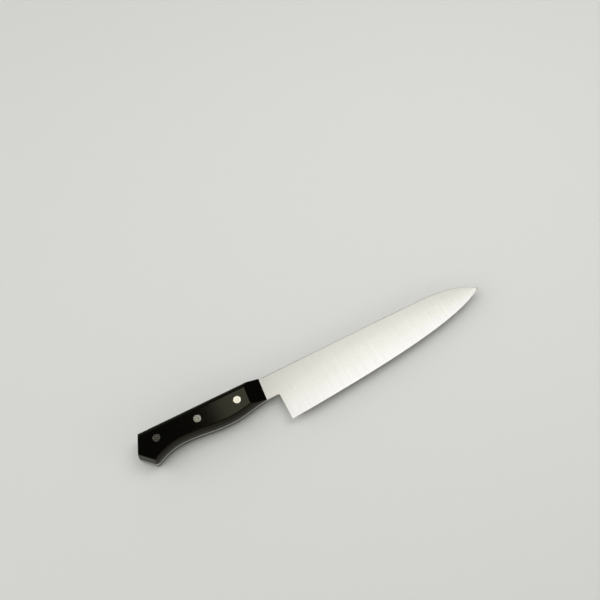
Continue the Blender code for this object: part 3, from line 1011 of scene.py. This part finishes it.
def scale_skin(at, front_at):
    """Outer sheet and inner sheet of the right scale."""
    inset, height, crossing = belly_profile(at, front_at)
    belly, face, top, up = scale_plan(inset, at, front_at)
    rise, pull = quarter_arc(ARC_ROWS)
    corner = top + up * (SPINE_REACH * rise[1:, None, None])
    corner_height = SCALE_OUTER - SPINE_DEPTH * pull[1:, None]
    plan = np.concatenate([belly, face, corner])
    flat = np.full((FACE_ROWS, len(at)), SCALE_OUTER)
    height = np.concatenate([height, flat, np.broadcast_to(corner_height, corner.shape[:2])])
    x, y = plan[..., 0], plan[..., 1]
    height, rubbed = cut_down(x, y, height)
    height = np.maximum(height, SCALE_INNER)
    rubbed[: len(belly)] = np.maximum(rubbed[: len(belly)], crossing)
    outer = sheet_of(x, y, height, rubbed)

    foot = outer[-1].copy()
    foot[:, 2:] = SCALE_INNER, 0
    wall = strip_between(outer[-1], foot, SPINE_WALL_ROWS)[1:]
    outer = np.concatenate([outer, wall])

    belly_share = np.linspace(0, 1, len(belly))[:, None, None]
    spine_share = np.linspace(0, 1, ARC_ROWS + SPINE_WALL_ROWS + 1)[1:, None, None]
    under = belly[0] + (belly[-1] - belly[0]) * belly_share
    over = top + up * SPINE_REACH * spine_share
    pressed = np.concatenate([under, face, over])
    inner = sheet_of(pressed[..., 0], pressed[..., 1], SCALE_INNER, 0)
    return outer, inner


def scale_sheets():
    """Skin, inner side, front and butt ends, and the stepped rivet holes."""
    outer, inner = scale_skin(column_at, front_at)
    counterbore = HEAD_RADIUS + HEAD_PLAY
    floor_height = HEAD_SEAT - TUBE_PLAY
    skin, bearings = with_holes(outer, counterbore)
    back, _ = with_holes(inner, HOLE_RADIUS)
    sheets = skin + back
    sheets += [(strip_between(outer[:, end], inner[:, end]), None) for end in (0, -1)]
    for name, bearing in bearings.items():
        profile = [
            (counterbore, SCALE_OUTER, 0),
            (counterbore, floor_height, 0),
            (HOLE_RADIUS, floor_height, 0),
            (HOLE_RADIUS, SCALE_INNER, 0),
        ]
        sheets.append((turned(profile, RIVET_PLACES[name], bearing), None))
    return sheets


right_sheets = scale_sheets()
print("scale skin", right_sheets[0][0].shape[:2])

# %% [markdown]
# Black laminated wood is thin birch veneers, dyed through and pressed with resin under heat. It
# is dense and takes a soft polish, near black with a faint brown grain that runs the length of
# the handle, fine pores that stay a little duller, and the veneers' edges as hardly visible
# lines where the belly cuts across them. The resin at the surface is amber, which warms the
# sheen. Arrises that hands and cloths rub are a bit glossier.

# %% Black laminated wood
GRAIN_WIDTH = 0.35
GRAIN_RUN = 22
PORE_WIDTH = 0.16
PORE_RUN = 2.6
VENEER = 0.75
WOOD_DARK = "020202"
WOOD_PALE = "080706"
WOOD_PORE = "020202"
RESIN_SHEEN = "FFFBD2"
PORE_EDGE = (0.64, 0.72)
PORE_HAZE = 0.12
GRAIN_HAZE = (-0.01, 0.02)
GRAIN_DEPTH = 0.01
WOOD_ROUGHNESS = 0.11
RUBBED_ROUGHNESS = 0.10


def laminated_wood():
    """Dyed veneers: stretched noise for grain and pores, and a layer tone across the handle."""
    material, tree = new_material("black_laminated_birch")
    place = add_node(tree, "TexCoord").outputs["Object"]
    grain = streaks(
        tree, place, (GRAIN_RUN, GRAIN_WIDTH, VENEER), Detail=4.0, Roughness=0.55, Distortion=0.4
    )
    specks = streaks(tree, place, (PORE_RUN, PORE_WIDTH, PORE_WIDTH), Detail=1.0)
    pores = add_node(
        tree, "MapRange", {"Value": specks, "From Min": PORE_EDGE[0], "From Max": PORE_EDGE[1]}
    )
    shades = [(0.35, linear(WOOD_DARK)), (0.75, linear(WOOD_PALE))]
    tone = add_node(tree, "ValToRGB", {"Fac": grain}, stops=shades)
    colour = add_node(tree, "MixRGB", {"Fac": pores, "Color1": tone, "Color2": linear(WOOD_PORE)})
    rubbed = add_node(tree, "Attribute", attribute_name="rubbed").outputs["Fac"]
    polish = add_node(
        tree, "MapRange", {"Value": rubbed, "To Min": WOOD_ROUGHNESS, "To Max": RUBBED_ROUGHNESS}
    )
    duller = add_node(tree, "MapRange", {"Value": pores, "To Max": PORE_HAZE})
    streaked = add_node(
        tree, "MapRange", {"Value": grain, "To Min": GRAIN_HAZE[0], "To Max": GRAIN_HAZE[1]}
    )
    rough = add_node(tree, "Math", {0: polish, 1: duller})
    rougher = add_node(tree, "Math", {0: rough, 1: streaked})
    relief = add_node(tree, "Math", {0: grain, 1: pores}, operation="SUBTRACT")
    bump = add_node(
        tree, "Bump", {"Height": relief, "Strength": 0.1, "Distance": GRAIN_DEPTH * MM}
    )
    shader = add_node(
        tree,
        "BsdfPrincipled",
        {
            "Base Color": colour,
            "Roughness": rougher,
            "Specular IOR Level": 0.25,
            "Specular Tint": linear(RESIN_SHEEN),
            "Normal": bump,
        },
    )
    add_node(tree, "OutputMaterial", {"Surface": shader})
    return material


wood = laminated_wood()
left_sheets = [(mirrored(sheet), kept) for sheet, kept in right_sheets]
build_piece("right_handle_scale", right_sheets, wood, "right_scale", "rubbed")
build_piece("left_handle_scale", left_sheets, wood, "left_scale", "rubbed")

# %% [markdown]
# A handle rivet is two turned pieces. The tubular half comes from the right, the solid pin from
# the left, and hammering them together swells the pin until it fills the tube. Then both ends
# are ground flush with the wood, which leaves their rims crisp. So the right side shows a ring
# with a disc in it, and the left side the pin's whole head. Each half is a profile turned once
# round. The surface's own value is the distance from the seam between the ring and the disc.
# A grinder never leaves three heads quite level. In the photograph the middle one still mirrors
# the lamp where the wood around it has gone dark, so it leans forward by half a degree.

# %% Rivets
TURN_STEPS = 72
DISH_DEPTH = 0.008
DISH_STEPS = 12
SEAM_GAP = 0.01
SWOLLEN_RADIUS = BORE_RADIUS - SEAM_GAP
FOOT = -HEAD_SEAT + TUBE_PLAY
NO_SEAM = 3.0
HEAD_LEAN = {"front": 0.0, "middle": 0.009, "butt": 0.0}


def leaning(sheet, centre, slope):
    """The same sheet, lower towards the tip by the slope times the distance from the centre."""
    return sheet - (sheet[..., :1] - centre[0]) * np.array([0, 0, slope, 0])


def with_seam(profile):
    """Adds each point's distance from the seam, which only the right side has."""
    profile = np.array(profile, float)
    away = np.where(profile[:, 1] > 0, np.abs(profile[:, 0] - BORE_RADIUS), NO_SEAM)
    return np.column_stack([profile, away])


def sleeve_profile():
    """Ring, head, tube and bore, and back to the ring."""
    ring = [(BORE_RADIUS, HEAD_TOP), (HEAD_RADIUS, HEAD_TOP)]
    shank = [(HEAD_RADIUS, HEAD_SEAT), (TUBE_RADIUS, HEAD_SEAT), (TUBE_RADIUS, FOOT)]
    return with_seam([*ring, *shank, (BORE_RADIUS, FOOT), ring[0]])


def pin_profile():
    """The pin's end is dished a little, as a punch leaves it. Its head is plain."""
    radius = np.linspace(0, SWOLLEN_RADIUS, DISH_STEPS)
    dish = HEAD_TOP - DISH_DEPTH * (1 - (radius / SWOLLEN_RADIUS) ** 2) ** 2
    shank = [(SWOLLEN_RADIUS, FOOT), (PIN_RADIUS, FOOT), (PIN_RADIUS, -HEAD_SEAT)]
    head = [(HEAD_RADIUS, -HEAD_SEAT), (HEAD_RADIUS, -HEAD_TOP), (0, -HEAD_TOP)]
    return with_seam([*np.column_stack([radius, dish]), *shank, *head])


print("rivet", round(2 * HEAD_TOP, 2), "mm from face to face")

# %% [markdown]
# The rivets are an austenitic stainless, softer than the blade and a little warmer. Grinding
# them flush with the wood leaves fine scratches that run along the handle. The hairline seam
# between tube and pin is painted as shade, so the steel darkens towards it. The pin's end,
# which was hammered, is a trace darker than the ring around it.

# %% Rivet steel
SCRATCH_GAP = 0.12
SCRATCH_RUN = 4.0
# Colour and reach of the painted shade at the hairline seam between tube and pin.
SEAM_SHADE_TONE = "A3A191"
SHADE_FULL_WITHIN = 0.05
SHADE_ENDS_AT = 0.2
RIVET_ROUGHNESS = (0.16, 0.17)
RING_TONES = ("C5C3B3", "C3C1B1")
PIN_TONES = ("C0BEAB", "BEBCA9")


def rivet_steel(name, bright, dull):
    """Flush-ground steel: short scratches along the handle, and painted shade at the seam."""
    material, tree = new_material(name)
    place = add_node(tree, "TexCoord").outputs["Object"]
    scratches = streaks(
        tree, place, (SCRATCH_RUN, SCRATCH_GAP, SCRATCH_RUN), Detail=3.0, Roughness=0.6
    )
    shades = [(0.3, linear(dull)), (0.65, linear(bright))]
    tone = add_node(tree, "ValToRGB", {"Fac": scratches}, stops=shades)
    # Painted shade: the steel's colour darkens towards the seam between tube and pin.
    seam = add_node(tree, "Attribute", attribute_name="from_seam").outputs["Fac"]
    unshaded = add_node(tree, "MapRange", {"Value": seam, "From Min": SHADE_FULL_WITHIN, "From Max": SHADE_ENDS_AT})
    colour = add_node(tree, "MixRGB", {"Fac": unshaded, "Color1": linear(SEAM_SHADE_TONE), "Color2": tone})
    gloss = add_node(
        tree,
        "MapRange",
        {"Value": scratches, "To Min": RIVET_ROUGHNESS[0], "To Max": RIVET_ROUGHNESS[1]},
    )
    shader = add_node(
        tree, "BsdfPrincipled", {"Base Color": colour, "Metallic": 1.0, "Roughness": gloss}
    )
    add_node(tree, "OutputMaterial", {"Surface": shader})
    return material


ring_steel = rivet_steel("flush_ground_stainless_steel", *RING_TONES)
pin_steel = rivet_steel("hammered_stainless_steel", *PIN_TONES)
once_round = np.linspace(0, 2 * math.pi, TURN_STEPS + 1)
for name, place in RIVET_PLACES.items():
    for half, profile, steel in (
        ("sleeve", sleeve_profile(), ring_steel),
        ("pin", pin_profile(), pin_steel),
    ):
        build_piece(
            f"{name}_rivet_turned_{half}",
            [(leaning(turned(profile, place, once_round), place, HEAD_LEAN[name]), None)],
            steel,
            f"{name}_rivet_{half}",
            "from_seam",
        )

# %% [markdown]
# Last come the sizes. The finished knife has to fill the same box as the imported solids, so both
# boxes are printed for comparison.

# %% Sizes
visual_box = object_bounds()
boxes = {"cad": [list(corner) for corner in cad_box], "visual": [list(corner) for corner in visual_box]}
for label, (low, high) in boxes.items():
    print(label, [round((top - bottom) / MM, 2) for bottom, top in zip(low, high)], "mm")
